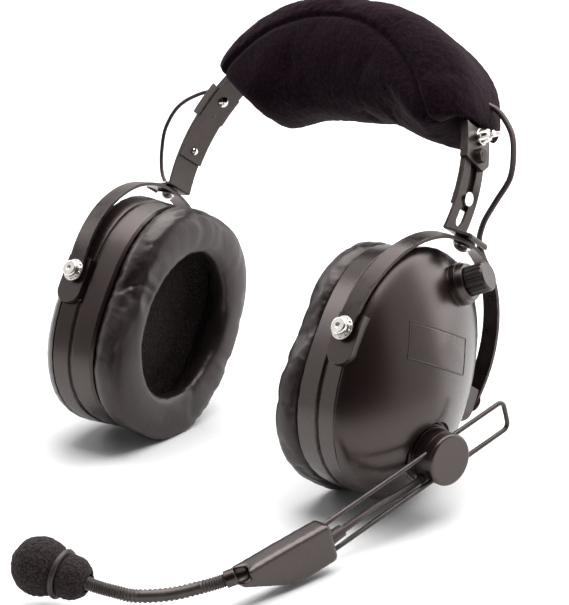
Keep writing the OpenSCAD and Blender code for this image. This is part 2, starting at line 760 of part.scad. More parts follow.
module boom_wire() {
    r = wire_d / 2;
    run = wire_front - wire_back - wire_bend;
    color(chrome_wire) left() boom_frame() translate([0, 0, split_z]) {
        for (side = [-1, 1]) {
            translate([wire_back + wire_bend, side * wire_gap / 2, 0]) rotate([0, 90, 0]) cylinder(r = r, h = run);
            translate([wire_back + wire_bend, side * (wire_gap / 2 - wire_bend), 0])
                rotate([0, 0, side > 0 ? 90 : 180]) rotate_extrude(angle = 90) translate([wire_bend, 0]) circle(r = r);
        }
        translate([wire_back, 0, 0]) rotate([90, 0, 0]) cylinder(r = r, h = wire_gap - 2 * wire_bend, center = true);
    }
}

module boom_block() {
    corners = [[66.5, -7], [66.5, 5.8], [79, 5], [87, 3.6], [107.6, -8.2], [107, -10.6], [89.5, -9.2]];
    color(shell_black) left() boom_frame() difference() {
        hull() for (c = corners) translate([c[0], c[1], block_z]) {
            translate([0, 0, 0.8]) cylinder(r = 2, h = block_t - 1.6, $fn = 32);
            cylinder(r = 1.2, h = block_t, $fn = 32);
        }
        wire_bores_front();
        lead_axis() cylinder(d = 4.04, h = 8);
        neck_axis() translate([0, 0, -5]) cylinder(d = neck_d + 1.04, h = 12);
    }
}

module wire_bores_front() {
    for (side = [-1, 1])
        translate([60, side * wire_gap / 2, split_z]) rotate([0, 90, 0])
            cylinder(r = wire_d / 2 + 0.02, h = wire_front - 59.9);
}

// Axis of the lead's relief, pointing into the block
module lead_axis() { translate([64.5, 0, 10.5]) rotate([0, 90, 0]) children(); }

// Axis of the gooseneck where it leaves the block
module neck_axis() {
    d = neck_route[1] - neck_route[0];
    translate(neck_route[0]) rotate([0, acos(d[2] / norm(d)), atan2(d[1], d[0])]) children();
}

module lead_relief() {
    color(rubber) left() boom_frame() lead_axis() difference() {
        union() {
            translate([0, 0, -7]) cylinder(d1 = 5, d2 = 5.8, h = 6.95);
            translate([0, 0, -0.1]) cylinder(d = 4, h = 6);
        }
        translate([0, 0, -8]) cylinder(d = lead_d + 0.04, h = 8.2);
    }
}

module mic_lead() {
    color(rubber) left() boom_frame() cord(smooth_route(lead_route, 2), lead_d);
}

// Bush that takes the lead into the drum
module lead_gland() {
    color(rubber) left() gland_axis() difference() {
        union() {
            cylinder(d = 3.8, h = 6.5);
            translate([0, 0, 4.8]) cylinder(d = 4.1, h = 1.3);
        }
        translate([0, 0, 3]) cylinder(d = lead_d + 0.1, h = 5);
    }
}

// Ribbed hose with a bore: two rings to a rib, plain at both ends
module gooseneck() {
    p = smooth_route(neck_route, 14);
    n = len(p);
    outer = [for (i = [1:n - 2]) route_ring(p, i, i < 4 || i > n - 5 || i % 2 == 0 ? neck_d / 2 : neck_d / 2 - 0.5, 8, [0, 1, 0])];
    inner = [for (i = [n - 2:-6:1]) route_ring(p, i, 1.5, 8, [0, 1, 0])];
    color("#5a5654") left() boom_frame() loft_loop(concat(outer, inner));
}

module neck_collar() {
    color(shell_black) left() boom_frame() neck_axis() tube(neck_d + 1, neck_d + 0.1, 4);
}

module mic_capsule() {
    color("#3a3838") left() mic_frame() translate([0, 0, 0.5]) difference() {
        union() {
            cylinder(d = 7, h = 4);
            translate([0, 0, 4]) cylinder(d = 10, h = 12);
        }
        translate([0, 0, -1]) cylinder(d = 3, h = 4);
    }
}

module windscreen() {
    color(foam) left() mic_frame() difference() {
        rotate_extrude() intersection() {
            union() {
                translate([0, 6.5]) circle(r = 8.6);
                translate([0, 19.5]) circle(r = 11.3);
                translate([-7, 6]) square([14, 8]);
            }
            translate([0, -2]) square([20, 40]);
            difference() {
                translate([0, -2]) square([20, 40]);
                translate([8.6, 10.2]) circle(r = 1.3);
            }
        }
        translate([0, 0, -5]) cylinder(d = 7.2, h = 10);
        translate([0, 0, 4.3]) cylinder(d = 10.1, h = 12.4);
    }
}

module windscreen_ring() {
    color(rubber) left() mic_frame() translate([0, 0, 10.2]) rotate_extrude() translate([8.6, 0]) circle(r = 1.2);
}

// ---------- crossover leads ----------
module crossover_lead_l() { color(rubber) stance() cord(smooth_route(cross_route_l, 3), 2.6, [0, 1, 0]); }
module crossover_lead_r() { color(rubber) stance() cord(smooth_route(cross_route_r, 3), 1.8, [0, 1, 0]); }

module lead_grommet() {
    color(rubber) entry() difference() {
        union() {
            translate([0, 0, -2.9]) cylinder(d = 5, h = 3.4);
            translate([0, 0, 0.4]) cylinder(d1 = 7, d2 = 4.8, h = 3);
        }
        translate([0, 0, -4]) cylinder(d = 3.2, h = 10);
    }
}

// Hole and seat for a lead's grommet
module lead_entry_hole() {
    translate([0, 0, -8]) cylinder(d = 5.04, h = 10);
    translate([0, 0, 0.35]) cylinder(d = 7.4, h = 6);
}

module cord_inlet() {
    color(rubber) right() inlet_frame() difference() {
        union() {
            translate([0, 0, -8]) cylinder(d = inlet_d, h = 10);
            translate([0, 0, 2]) cylinder(d1 = inlet_d + 2, d2 = inlet_d + 1, h = 2);
        }
        translate([0, 0, -9]) cylinder(r = inlet_bore_r, h = 14);
    }
}

// ---------- left and right copies ----------
module bracket_l() { band_frame(1) bracket(); }
module bracket_r() { band_frame(-1) bracket(); }
module wing_nut_l() { band_frame(1) wing_nut(); }
module clamp_nut_r() { band_frame(-1) clamp_nut(); }
module slider_l() { left() slider(1); }
module slider_r() { right() slider(-1); }
module swivel_rivet_l() { left() swivel_rivet(); }
module swivel_rivet_r() { right() swivel_rivet(); }
module swivel_washers_l() { left() swivel_washers(); }
module swivel_washers_r() { right() swivel_washers(); }
module stirrup_l() { left() stirrup(); }
module stirrup_r() { right() stirrup(); }
module pivot_screws_l() { left() pivot_screws(); }
module pivot_screws_r() { right() pivot_screws(); }
module pivot_washers_l() { left() pivot_washers(); }
module pivot_washers_r() { right() pivot_washers(); }
module cup_base_l() { left() cup_base(); }
module cup_base_r() { right() cup_base(); }
module ear_seal_l() { ear_seal(); }
module ear_seal_r() { translate([2 * stand[0], 0, 0]) mirror([1, 0, 0]) ear_seal(); }
module foam_liner_l() { left() foam_liner(); }
module foam_liner_r() { right() foam_liner(); }
module speaker_l() { left() speaker(); }
module speaker_r() { right() speaker(); }
module dome_foam_l() { left() dome_foam(); }
module dome_foam_r() { right() dome_foam(); }
module lead_grommet_l() { left() lead_grommet(); }
module lead_grommet_r() { right() lead_grommet(); }

headband_spring();
head_pad();
bracket_l();
bracket_r();
clamp_screws();
lock_nuts();
guide_rivets();
wing_nut_l();
clamp_nut_r();
slider_l();
slider_r();
swivel_rivet_l();
swivel_rivet_r();
swivel_washers_l();
swivel_washers_r();
stirrup_l();
stirrup_r();
pivot_screws_l();
pivot_screws_r();
pivot_washers_l();
pivot_washers_r();
dome_l();
dome_r();
cup_base_l();
cup_base_r();
ear_seal_l();
ear_seal_r();
foam_liner_l();
foam_liner_r();
speaker_l();
speaker_r();
dome_foam_l();
dome_foam_r();
volume_bezel();
volume_knob();
volume_pot();
boom_base();
boom_drum();
boom_cap();
boom_wire();
boom_block();
lead_relief();
mic_lead();
lead_gland();
gooseneck();
neck_collar();
mic_capsule();
windscreen();
windscreen_ring();
crossover_lead_l();
crossover_lead_r();
lead_grommet_l();
lead_grommet_r();
cord_inlet();
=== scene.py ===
from math import atan2, cos, degrees, exp, hypot, pi, radians, sin

import bpy
import bmesh
from mathutils import Matrix, Vector, noise
from mathutils.bvhtree import BVHTree


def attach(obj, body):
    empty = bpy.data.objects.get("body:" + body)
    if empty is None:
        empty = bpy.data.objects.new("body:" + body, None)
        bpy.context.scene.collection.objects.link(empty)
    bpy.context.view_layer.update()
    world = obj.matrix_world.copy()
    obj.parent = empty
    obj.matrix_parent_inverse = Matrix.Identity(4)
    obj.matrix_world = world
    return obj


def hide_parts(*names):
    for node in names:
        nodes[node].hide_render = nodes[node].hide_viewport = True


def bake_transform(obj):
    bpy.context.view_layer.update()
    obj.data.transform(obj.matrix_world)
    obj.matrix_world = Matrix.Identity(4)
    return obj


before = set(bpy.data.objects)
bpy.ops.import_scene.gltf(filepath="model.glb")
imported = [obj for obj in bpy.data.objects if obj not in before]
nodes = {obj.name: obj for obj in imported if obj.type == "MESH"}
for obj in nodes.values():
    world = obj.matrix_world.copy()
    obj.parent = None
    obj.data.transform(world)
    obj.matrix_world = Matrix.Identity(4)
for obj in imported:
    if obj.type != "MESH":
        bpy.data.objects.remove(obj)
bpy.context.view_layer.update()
scene = bpy.context.scene
scene.view_settings.view_transform = "Standard"

# Camera
view = {
    "place": (0.54876, -0.60096, 0.34798),
    "turn": (71.602, 2.982, 39.545),  # degrees
    "lens": 129.24,
    "shift": (0.0039, 0.0054),
}
cameraData = bpy.data.cameras.new("camera")
cameraData.sensor_fit = "HORIZONTAL"
cameraData.sensor_width = 36
cameraData.lens = view["lens"]
cameraData.shift_x, cameraData.shift_y = view["shift"]
cameraData.clip_end = 30
camera = bpy.data.objects.new("camera", cameraData)
scene.collection.objects.link(camera)
camera.location = view["place"]
camera.rotation_euler = [radians(a) for a in view["turn"]]
scene.camera = camera


# Frames in millimetres, the same as the model's
def turned(axis, degrees):
    return Matrix.Rotation(radians(degrees), 4, axis)


def moved(x, y, z):
    return Matrix.Translation((x, y, z))


stance = moved(-5.95, 35.4, 54.9) @ turned("X", -35)
bandFrame = stance @ turned("Z", -1.5) @ moved(0, 0, 71) @ turned("Y", 2)
cupFrame = {
    "l": Matrix((
        (0.998646, 0.05202, 0.000149, 71.942843),
        (-0.042526, 0.814735, 0.578271, 35.465959),
        (0.02996, -0.577495, 0.815844, 54.994199),
        (0, 0, 0, 1),
    )),
    "r": Matrix((
        (-0.998646, -0.05202, -0.000149, -83.842843),
        (-0.042526, 0.814735, 0.578271, 35.465959),
        (0.02996, -0.577495, 0.815844, 54.994199),
        (0, 0, 0, 1),
    )),
}
boomFrame = Matrix((
    (-0.181304, 0.046836, 0.982311, 92.061763),
    (-0.956688, 0.222941, -0.187204, 18.184341),
    (-0.227766, -0.973706, 0.004387, 27.403716),
    (0, 0, 0, 1),
))


def metres(matrix, point):
    return (matrix @ Vector(point)) / 1000


# Routes in millimetres; the crossover leads share their lower half
crossLow = [
    (84.1, 19.8, 54.4), (83.4, 28.2, 49.6), (82.7, 36.2, 42.4), (81.8, 42.9, 33.2),
    (80.5, 48.1, 21.1), (77.2, 49.5, 13.6), (73.1, 48.7, 9.2), (70.1, 46.2, 6.7),
    (68.6, 43.4, 6), (68.5, 40.6, 5.9), (68.3, 37.4, 5.9),
]
leads = {
    "crossoverLeadL": {
        "replaces": "crossover_lead_l", "body": "headband", "frame": stance, "diameter": 2.6,
        "route": [
            (67.5, 5, 119.5), (75, 7, 117.5), (83, 9, 110), (87, 10, 101), (89, 10.5, 90),
            (85.5, 11.5, 80), (81.7, 13.4, 71.5), (80.7, 14.5, 65.5), (81.5, 15, 61), (83.2, 16.3, 57.5),
        ] + crossLow,
    },
    "crossoverLeadR": {
        "replaces": "crossover_lead_r", "body": "headband", "frame": stance, "diameter": 1.8,
        "route": [
            (-66, 11.2, 116), (-72, 10.8, 114.5), (-79, 8, 112), (-89, 4, 106.5), (-99, 4, 99),
            (-104, 6, 88), (-104, 9, 77), (-102, 11, 69), (-98.5, 11.8, 64), (-93.5, 12.4, 60.5),
            (-88, 14, 58),
        ] + [(-x, y, z) for x, y, z in crossLow],
    },
    "micLead": {
        "replaces": "mic_lead", "body": "boom", "frame": boomFrame, "diameter": 3,
        "route": [
            (9.5, 5.2, 6.3), (14, 5.2, 6.3), (24, 4.4, 6.6), (36, 2, 8), (48, 0.3, 10), (57.8, 0, 10.5),
        ],
    },
}


# A curve through the given points, with some steps between each two
def smoothRoute(points, steps):
    p = [Vector(q) for q in points]
    last = len(p) - 1
    line = []
    for i in range(last):
        a, b, c, d = p[max(i - 1, 0)], p[i], p[i + 1], p[min(i + 2, last)]
        for k in range(steps):
            t = k / steps
            line.append(0.5 * (2 * b + (c - a) * t + (2 * a - 5 * b + 4 * c - d) * t * t
                               + (3 * b - a - 3 * c + d) * t * t * t))
    line.append(p[last])
    return line


def tubeAlong(name, line, radius, sides=14):
    points, faces = [], []
    across = (line[1] - line[0]).orthogonal().normalized()
    for i, at in enumerate(line):
        ahead = (line[min(i + 1, len(line) - 1)] - line[max(i - 1, 0)]).normalized()
        across = (across - ahead * across.dot(ahead)).normalized()
        up = ahead.cross(across)
        for k in range(sides):
            a = 2 * pi * k / sides
            points.append(at + radius * (cos(a) * across + sin(a) * up))
    for i in range(len(line) - 1):
        for k in range(sides):
            right = (k + 1) % sides
            this, following = i * sides, (i + 1) * sides
            faces.append((this + k, this + right, following + right, following + k))
    faces.append(tuple(range(sides - 1, -1, -1)))
    faces.append(tuple((len(line) - 1) * sides + k for k in range(sides)))
    mesh = bpy.data.meshes.new(name)
    mesh.from_pydata(points, [], faces)
    for face in mesh.polygons:
        face.use_smooth = len(face.vertices) == 4
    return mesh


cordPieces = {}
for name, lead in leads.items():
    line = [metres(lead["frame"], q) for q in smoothRoute(lead["route"], 6)]
    piece = bpy.data.objects.new(name, tubeAlong(name, line, lead["diameter"] / 2000))
    scene.collection.objects.link(piece)
    length = sum((b - a).length for a, b in zip(line, line[1:]))
    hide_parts(lead["replaces"])
    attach(piece, lead["body"])
    cordPieces[name] = piece
    print(f"cord {name}: {length * 1000:.0f} mm")


# Shared shader effects
def makeGroup(name, inputs, outputs):
    group = bpy.data.node_groups.new(name, "ShaderNodeTree")
    for label, kind, value in inputs:
        socket = group.interface.new_socket(name=label, in_out="INPUT", socket_type=kind)
        if value is not None:
            socket.default_value = value
    for label, kind in outputs:
        group.interface.new_socket(name=label, in_out="OUTPUT", socket_type=kind)
    return group, group.nodes.new("NodeGroupInput"), group.nodes.new("NodeGroupOutput")


def add(tree, kind, links=None, **settings):
    node = tree.nodes.new(kind)
    for key, value in settings.items():
        setattr(node, key, value)
    for socket, value in (links or {}).items():
        if isinstance(value, bpy.types.NodeSocket):
            tree.links.new(value, node.inputs[socket])
        else:
            node.inputs[socket].default_value = value
    return node


def ramp(tree, source, low, high):
    return add(tree, "ShaderNodeMapRange", {"Value": source, "From Min": low, "From Max": high}).outputs[0]


# Small grain: a bumped normal and a mask that lightens the high points
grainGroup, start, end = makeGroup(
    "surfaceGrain",
    [("Scale", "NodeSocketFloat", 900), ("Depth", "NodeSocketFloat", 0.1), ("Soft", "NodeSocketFloat", 0.5),
     ("Normal", "NodeSocketVector", None)],
    [("Normal", "NodeSocketVector"), ("Mask", "NodeSocketFloat")])
where = add(grainGroup, "ShaderNodeTexCoord").outputs["Object"]
cells = add(grainGroup, "ShaderNodeTexVoronoi",
            {"Vector": where, "Scale": start.outputs["Scale"]}, feature="SMOOTH_F1")
fine = add(grainGroup, "ShaderNodeTexNoise",
           {"Vector": where, "Scale": start.outputs["Scale"], "Detail": 3.0})
grainMix = add(grainGroup, "ShaderNodeMix",
               {0: start.outputs["Soft"], 2: cells.outputs["Distance"], 3: fine.outputs["Fac"]})
bump = add(grainGroup, "ShaderNodeBump",
           {"Strength": start.outputs["Depth"], "Distance": 0.0004, "Height": grainMix.outputs[0],
            "Normal": start.outputs["Normal"]})
grainGroup.links.new(bump.outputs[0], end.inputs["Normal"])
grainGroup.links.new(grainMix.outputs[0], end.inputs["Mask"])

# Edges: a rounded normal and a mask along the corners, broken up by noise
edgeGroup, start, end = makeGroup(
    "edgeWear",
    [("Radius", "NodeSocketFloat", 0.0004), ("Amount", "NodeSocketFloat", 0.6)],
    [("Normal", "NodeSocketVector"), ("Mask", "NodeSocketFloat")])
rounded = add(edgeGroup, "ShaderNodeBevel", {"Radius": start.outputs["Radius"]}, samples=4)
flat = add(edgeGroup, "ShaderNodeNewGeometry")
facing = add(edgeGroup, "ShaderNodeVectorMath", {0: rounded.outputs[0], 1: flat.outputs["Normal"]},
             operation="DOT_PRODUCT")
corner = ramp(edgeGroup, facing.outputs["Value"], 0.99, 0.86)
patchy = add(edgeGroup, "ShaderNodeTexNoise",
             {"Vector": add(edgeGroup, "ShaderNodeTexCoord").outputs["Object"],
              "Scale": 420.0, "Detail": 4.0})
broken = ramp(edgeGroup, patchy.outputs["Fac"], 0.36, 0.6)
product = add(edgeGroup, "ShaderNodeMath", {0: corner, 1: broken}, operation="MULTIPLY")
worn = add(edgeGroup, "ShaderNodeMath",
           {0: product.outputs[0], 1: start.outputs["Amount"]}, operation="MULTIPLY")
edgeGroup.links.new(rounded.outputs[0], end.inputs["Normal"])
edgeGroup.links.new(worn.outputs[0], end.inputs["Mask"])

# Cloudy variation over a piece
cloudGroup, start, end = makeGroup(
    "cloudy",
    [("Scale", "NodeSocketFloat", 60), ("Contrast", "NodeSocketFloat", 0.5)],
    [("Mask", "NodeSocketFloat")])
clouds = add(cloudGroup, "ShaderNodeTexNoise",
             {"Vector": add(cloudGroup, "ShaderNodeTexCoord").outputs["Object"],
              "Scale": start.outputs["Scale"], "Detail": 5.0, "Roughness": 0.6})
centred = add(cloudGroup, "ShaderNodeMath", {0: clouds.outputs["Fac"], 1: 0.5}, operation="SUBTRACT")
scaled = add(cloudGroup, "ShaderNodeMath", {0: centred.outputs[0], 1: start.outputs["Contrast"]},
             operation="MULTIPLY")
spread = add(cloudGroup, "ShaderNodeMath",
             {0: scaled.outputs[0], 1: 0.5}, operation="ADD", use_clamp=True)
cloudGroup.links.new(spread.outputs[0], end.inputs["Mask"])


# Finishes: dark and light colour, roughness range, clouds (scale, contrast),
# grain (scale, depth, mix), edge (radius, wear) and the worn edge's colour
finishes = {
    "black_steel": {
        "colours": ((0.008, 0.0045, 0.0045), (0.026, 0.019, 0.018)),
        "rough": (0.24, 0.40), "clouds": (160, 2.4), "grain": (1500, 0.05, 0.7),
        "edge": (0.00035, 0.75), "edgeColour": (0.30, 0.28, 0.27), "metal": 0.25,
    },
    "shell_plastic": {
        "colours": ((0.006, 0.0022, 0.0022), (0.009, 0.0045, 0.0043)),
        "rough": (0.25, 0.31), "clouds": (45, 1.2), "grain": (2600, 0.05, 0.6),
        "edge": (0.0005, 0.25), "edgeColour": (0.14, 0.12, 0.115), "metal": 0.0, "ior": 1.62,
    },
    "knob_plastic": {
        "colours": ((0.008, 0.005, 0.005), (0.014, 0.010, 0.0095)),
        "rough": (0.28, 0.38), "clouds": (120, 1.4), "grain": (2600, 0.05, 0.6),
        "edge": (0.0004, 0.4), "edgeColour": (0.22, 0.21, 0.20), "metal": 0.0,
    },
    "rubber": {
        "colours": ((0.010, 0.007, 0.007), (0.022, 0.017, 0.017)),
        "rough": (0.38, 0.52), "clouds": (150, 1.5), "grain": (1800, 0.05, 0.5),
        "edge": (0.0003, 0.2), "edgeColour": (0.10, 0.09, 0.09), "metal": 0.0,
    },
    "nickel": {
        "colours": ((0.62, 0.59, 0.55), (0.80, 0.77, 0.73)),
        "rough": (0.13, 0.26), "clouds": (260, 1.6), "grain": (2200, 0.03, 0.8),
        "edge": (0.0003, 0.3), "edgeColour": (0.9, 0.88, 0.85), "metal": 1.0, "tint": (1, 1, 1),
    },
    "wire_steel": {
        "colours": ((0.030, 0.026, 0.025), (0.060, 0.054, 0.052)),
        "rough": (0.14, 0.26), "clouds": (200, 1.6), "grain": (2200, 0.03, 0.8),
        "edge": (0.0003, 0.2), "edgeColour": (0.3, 0.28, 0.27), "metal": 0.55,
    },
    "neck_metal": {
        "colours": ((0.040, 0.035, 0.033), (0.070, 0.063, 0.060)),
        "rough": (0.30, 0.42), "clouds": (180, 1.5), "grain": (2200, 0.04, 0.7),
        "edge": (0.0003, 0.3), "edgeColour": (0.2, 0.19, 0.18), "metal": 0.4,
    },
    "inner_metal": {
        "colours": ((0.16, 0.16, 0.16), (0.24, 0.24, 0.24)),
        "rough": (0.35, 0.5), "clouds": (120, 1.5), "grain": (1500, 0.05, 0.6),
        "edge": (0.0003, 0.3), "edgeColour": (0.4, 0.4, 0.4), "metal": 0.8,
    },
}
# Soft finishes: the same, with creases (scale, depth) in place of edges
softFinishes = {
    "vinyl": {
        "colours": ((0.010, 0.0065, 0.0062), (0.027, 0.021, 0.020)),
        "rough": (0.30, 0.46), "clouds": (38, 2.4), "grain": (1300, 0.16, 0.35),
        "creases": (34, 0.2), "sheen": 0.0, "gloss": 0.5, "tint": (1, 0.86, 0.84),
    },
    "fleece": {
        "colours": ((0.003, 0.0005, 0.0018), (0.020, 0.011, 0.015)),
        "rough": (0.9, 1.0), "clouds": (720, 3.4), "grain": (1300, 0.7, 0.6),
        "creases": (320, 0.12), "sheen": 0.07, "gloss": 0.06, "tint": (1, 0.6, 0.75),
    },
    "foam": {
        "colours": ((0.002, 0.001, 0.001), (0.075, 0.058, 0.058)),
        "rough": (0.8, 0.95), "clouds": (1150, 4.5), "grain": (1500, 1.0, 0.05),
        "creases": (700, 0.8), "sheen": 0.06, "gloss": 0.25, "tint": (1, 0.8, 0.8),
    },
}


def useGroup(tree, group, **values):
    node = tree.nodes.new("ShaderNodeGroup")
    node.node_tree = group
    for key, value in values.items():
        if isinstance(value, bpy.types.NodeSocket):
            tree.links.new(value, node.inputs[key])
        else:
            node.inputs[key].default_value = value
    return node


def mixColour(tree, mask, low, high):
    node = add(tree, "ShaderNodeMix", {0: mask}, data_type="RGBA")
    for index, value in ((6, low), (7, high)):
        if isinstance(value, bpy.types.NodeSocket):
            tree.links.new(value, node.inputs[index])
        else:
            node.inputs[index].default_value = (*value, 1)
    return node.outputs[2]


def newMaterial(name):
    material = bpy.data.materials.new(name)
    material.use_nodes = True
    tree = material.node_tree
    return material, tree, tree.nodes["Principled BSDF"]


def hardMaterial(name, f):
    material, tree, shader = newMaterial(name)
    cloud = useGroup(tree, cloudGroup, Scale=f["clouds"][0], Contrast=f["clouds"][1])
    edge = useGroup(tree, edgeGroup, Radius=f["edge"][0], Amount=f["edge"][1])
    grain = useGroup(tree, grainGroup, Scale=f["grain"][0], Depth=f["grain"][1], Soft=f["grain"][2],
                     Normal=edge.outputs["Normal"])
    body = mixColour(tree, cloud.outputs["Mask"], *f["colours"])
    colour = mixColour(tree, edge.outputs["Mask"], body, f["edgeColour"])
    tree.links.new(colour, shader.inputs["Base Color"])
    rough = add(tree, "ShaderNodeMapRange",
                {"Value": cloud.outputs["Mask"], "To Min": f["rough"][0], "To Max": f["rough"][1]})
    tree.links.new(rough.outputs[0], shader.inputs["Roughness"])
    tree.links.new(grain.outputs["Normal"], shader.inputs["Normal"])
    shader.inputs["Metallic"].default_value = f["metal"]
    shader.inputs["IOR"].default_value = f.get("ior", 1.5)
    shader.inputs["Specular Tint"].default_value = (*f.get("tint", (1, 0.84, 0.81)), 1)
    return material


def softMaterial(name, f):
    material, tree, shader = newMaterial(name)
    cloud = useGroup(tree, cloudGroup, Scale=f["clouds"][0], Contrast=f["clouds"][1])
    crease = add(tree, "ShaderNodeTexNoise",
                 {"Vector": add(tree, "ShaderNodeTexCoord").outputs["Object"], "Scale": f["creases"][0],
                  "Detail": 4.0, "Distortion": 1.2})
    crease.noise_type = "RIDGED_MULTIFRACTAL"
    lines = add(tree, "ShaderNodeBump",
                {"Strength": f["creases"][1], "Distance": 0.0006, "Height": crease.outputs["Fac"]},
                invert=True)
    grain = useGroup(tree, grainGroup, Scale=f["grain"][0], Depth=f["grain"][1], Soft=f["grain"][2],
                     Normal=lines.outputs[0])
    body = mixColour(tree, cloud.outputs["Mask"], *f["colours"])
    dark = mixColour(tree, grain.outputs["Mask"], tuple(c * 0.6 for c in f["colours"][0]), body)
    tree.links.new(dark, shader.inputs["Base Color"])
    rough = add(tree, "ShaderNodeMapRange",
                {"Value": cloud.outputs["Mask"], "To Min": f["rough"][0], "To Max": f["rough"][1]})
    tree.links.new(rough.outputs[0], shader.inputs["Roughness"])
    tree.links.new(grain.outputs["Normal"], shader.inputs["Normal"])
    shader.inputs["Sheen Weight"].default_value = f["sheen"]
    shader.inputs["Sheen Roughness"].default_value = 0.5
    shader.inputs["Specular IOR Level"].default_value = f["gloss"]
    shader.inputs["Specular Tint"].default_value = (*f["tint"], 1)
    shader.inputs["Sheen Tint"].default_value = (0.6, 0.48, 0.54, 1)
    return material


materials = {slot: hardMaterial(slot, f) for slot, f in finishes.items()}
materials.update({slot: softMaterial(slot, f) for slot, f in softFinishes.items()})

slotOf = {}
for name, node in nodes.items():
    slotOf[name] = node.material_slots[0].material.name.split(".")[0]
    for index in range(len(node.material_slots)):
        node.material_slots[index].material = materials[slotOf[name]]
for piece in cordPieces.values():
    piece.data.materials.append(materials["rubber"])
print("materials:", len(materials))


# Pieces that stand for CAD nodes
def addPiece(name, mesh, body, slot, *standsFor):
    piece = bpy.data.objects.new(name, mesh)
    scene.collection.objects.link(piece)
    mesh.materials.clear()
    mesh.materials.append(materials[slot])
    if standsFor:
        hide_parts(*standsFor)
    if body:
        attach(piece, body)
    return piece


def weldedCopy(name, node, angle):
    mesh = nodes[node].data.copy()
    mesh.name = name
    work = bmesh.new()
    work.from_mesh(mesh)
    bmesh.ops.remove_doubles(work, verts=work.verts, dist=2e-6)
    for face in work.faces:
        face.smooth = True
    for edge in work.edges:
        edge.smooth = edge.is_manifold and edge.calc_face_angle(0) < radians(angle)
    mesh.clear_geometry()
    work.to_mesh(mesh)
    work.free()
    return mesh


# Faceted forms, smoothed over their shallow edges: name, body, angle kept sharp
smoothed = {
    "dome_l": ("domeShellL", "cup_l", 24), "dome_r": ("domeShellR", "cup_r", 24),
    "cup_base_l": ("cupRingL", "cup_l", 26), "cup_base_r": ("cupRingR", "cup_r", 26),
}
shells = {}
for node, (name, body, angle) in smoothed.items():
    shells[node] = addPiece(name, weldedCopy(name, node, angle), body, slotOf[node], node)

# The gooseneck between the boom and the microphone: a welded copy, smoothed over its shallow edges
neck = {"start": (112, -10, 8), "end": (147, -18, -20), "angle": 60}
hoseMesh = weldedCopy("gooseneckHose", "gooseneck", neck["angle"])
hose = addPiece("gooseneckHose", hoseMesh, None, slotOf["gooseneck"], "gooseneck")
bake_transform(hose)
print("smoothed pieces:", len(shells) + 1)


# Soft goods
def voxelCopy(name, node, size):
    mesh = weldedCopy(name, node, 180)
    piece = bpy.data.objects.new(name, mesh)
    scene.collection.objects.link(piece)
    remesh = piece.modifiers.new("remesh", "REMESH")
    remesh.mode = "VOXEL"
    remesh.voxel_size = size
    remesh.use_smooth_shade = True
    return bakeModifiers(piece)


def bakeModifiers(piece):
    graph = bpy.context.evaluated_depsgraph_get()
    mesh = bpy.data.meshes.new_from_object(piece.evaluated_get(graph))
    old = piece.data
    piece.modifiers.clear()
    piece.data = mesh
    bpy.data.meshes.remove(old)
    mesh.name = piece.name
    for face in mesh.polygons:
        face.use_smooth = True
    return piece


def puff(piece, held, pressure, grow, cap, frames=20):
    before = [v.co.copy() for v in piece.data.vertices]
    group = piece.vertex_groups.new(name="held")
    for i, weight in enumerate(held):
        if weight > 0:
            group.add([i], weight, "REPLACE")
    cloth = piece.modifiers.new("cloth", "CLOTH")
    setup = cloth.settings
    setup.quality = 5
    setup.mass = 0.15
    setup.tension_stiffness = 20
    setup.compression_stiffness = 20
    setup.bending_stiffness = 0.4
    setup.use_pressure = True
    setup.uniform_pressure_force = pressure
    setup.shrink_min = -grow
    setup.vertex_group_mass = "held"
    setup.effector_weights.gravity = 0
    cloth.collision_settings.use_collision = False
    cloth.point_cache.frame_start = 1
    cloth.point_cache.frame_end = frames
    for k in range(1, frames + 1):
        scene.frame_set(k)
    bakeModifiers(piece)
    piece.vertex_groups.clear()
    for v, old in zip(piece.data.vertices, before):
        step = v.co - old
        if step.length > cap:
            v.co = old + step * (cap / step.length)
    scene.frame_set(1)


def subdivide(piece, levels=1):
    modifier = piece.modifiers.new("fine", "SUBSURF")
    modifier.levels = modifier.render_levels = levels
    return bakeModifiers(piece)


def finishSoft(piece, body, slot, node):
    piece.data.materials.clear()
    piece.data.materials.append(materials[slot])
    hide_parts(node)
    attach(piece, body)


# Microphone block: moulded, with its corners rounded
corners = {"voxel": 0.0007, "factor": 0.5, "rounds": 14}
block = voxelCopy("boomBlockShell", "boom_block", corners["voxel"])
rounding = block.modifiers.new("rounding", "SMOOTH")
rounding.factor = corners["factor"]
rounding.iterations = corners["rounds"]
bakeModifiers(block)
addPiece("boomBlockShell", block.data, "boom", slotOf["boom_block"], "boom_block")
bpy.data.objects.remove(block)

# Head pad: the fleece skin over the band, with a seam along each side
pad = {
    "radius": 83.2, "seamDrop": 8, "halfAngle": 60, "width": 54, "thick": 49, "endThick": 19,
    "shift": 2, "hang": 5, "rise": 5, "around": 56, "along": 30, "groove": 0.03,
    "lumps": 0.0004, "lumpScale": 70, "pileScale": 420, "seamWidth": 1.3, "seamDepth": 0.0016,
    "seamFrom": 14, "pressure": 3, "grow": 0.01, "cap": 0.0022, "fill": 0.7,
}
band = {"width": 15, "inner": 78, "outer": 80.3}
bandMiddle = (band["inner"] + band["outer"]) / 2


def signedPower(v, p):
    return (abs(v) ** p) * (1 if v > 0 else -1 if v < 0 else 0)


def endBulge(angle):
    return sin(radians(160 * abs(angle) / pad["halfAngle"]))


